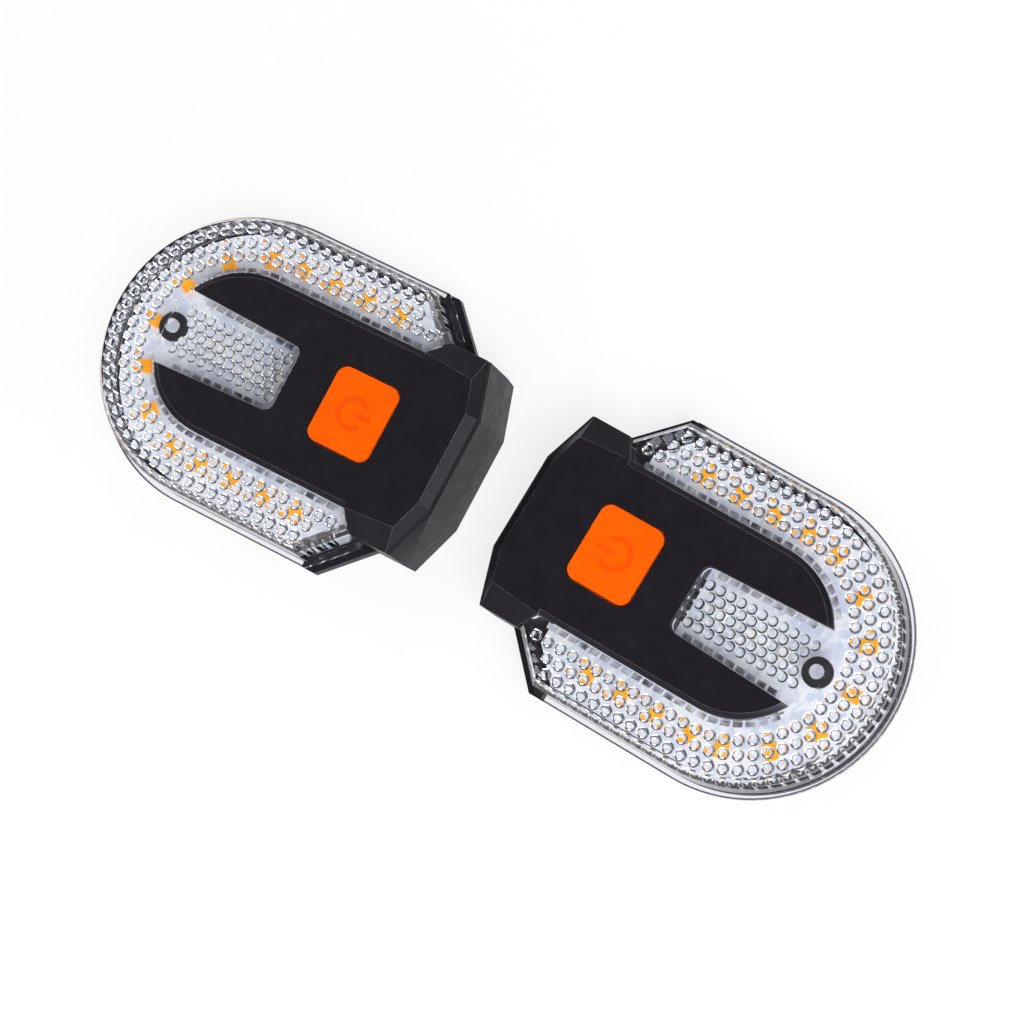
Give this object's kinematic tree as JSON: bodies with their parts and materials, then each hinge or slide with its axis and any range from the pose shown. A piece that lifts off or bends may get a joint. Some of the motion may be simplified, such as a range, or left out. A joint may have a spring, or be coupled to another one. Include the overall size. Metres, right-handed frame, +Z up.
{
  "type": "bicycle turn signal light",
  "caption": "Flat U-shaped bicycle turn signal lights, laid as a pair, with a clear pillow-optic lens, a black panel and an orange button.",
  "frame": {"origin": "middle of the pair on the floor under both back faces", "axes": "+X along the pair from the left light to the right one, +Y across it, +Z up out of the lenses"},
  "size_m": [0.1936, 0.0668, 0.0225],
  "materials": {
    "front_black": "fine matte moulding texture",
    "rear_grey": "matte moulding texture",
    "clear_lens": "clear polycarbonate, polished",
    "seal": "matte silicone",
    "orange": "satin silicone",
    "black_part": "matte",
    "board": "white solder mask",
    "amber": "translucent lamp resin",
    "pale_lamp": "lamp resin",
    "foil": "satin foil",
    "foam": "foam",
    "lead": "insulated wire",
    "steel": "satin",
    "brass": "knurled brass"
  },
  "bodies": {
    "lights": {"left_front_housing": "front_black", "left_rear_housing": "rear_grey", "left_lens": "clear_lens", "left_pin_ring": "seal", "left_lens_seal": "seal", "left_housing_seal": "seal", "left_switch_body": "black_part", "left_circuit_board": "board", "left_amber_lamps": "amber", "left_white_lamps": "pale_lamp", "left_resistors": "black_part", "left_controller_chip": "black_part", "left_charger_chip": "black_part", "left_battery": "foil", "left_battery_pad": "foam", "left_battery_leads": "lead", "left_port_shell": "steel", "left_port_tongue": "black_part", "left_case_screws": "steel", "left_mount_inserts": "brass", "right_front_housing": "front_black", "right_rear_housing": "rear_grey", "right_lens": "clear_lens", "right_pin_ring": "seal", "right_lens_seal": "seal", "right_housing_seal": "seal", "right_switch_body": "black_part", "right_circuit_board": "board", "right_amber_lamps": "amber", "right_white_lamps": "pale_lamp", "right_resistors": "black_part", "right_controller_chip": "black_part", "right_charger_chip": "black_part", "right_battery": "foil", "right_battery_pad": "foam", "right_battery_leads": "lead", "right_port_shell": "steel", "right_port_tongue": "black_part", "right_case_screws": "steel", "right_mount_inserts": "brass"},
    "left_button_group": {"left_button": "orange", "left_switch_plunger": "black_part"},
    "left_cover_group": {"left_port_cover": "seal"},
    "right_button_group": {"right_button": "orange", "right_switch_plunger": "black_part"},
    "right_cover_group": {"right_port_cover": "seal"}
  },
  "joints": [
    {"name": "left_button_press", "type": "slide", "parent": "lights", "child": "left_button_group", "axis": [0, 0, -1], "range_m": [0, 0.0004], "stiffness_N_per_m": 400},
    {"name": "left_port_cover_hinge", "type": "hinge", "parent": "lights", "child": "left_cover_group", "pos_m": [-0.0124, 0.00101, 0.0009], "axis": [0.0297, -0.9996, 0], "range_deg": [0, 100]},
    {"name": "right_button_press", "type": "slide", "parent": "lights", "child": "right_button_group", "axis": [0, 0, -1], "range_m": [0, 0.0004], "stiffness_N_per_m": 400},
    {"name": "right_port_cover_hinge", "type": "hinge", "parent": "lights", "child": "right_cover_group", "pos_m": [0.0124, 0.00101, 0.0009], "axis": [0.0297, 0.9996, 0], "range_deg": [0, 100]}
  ]
}
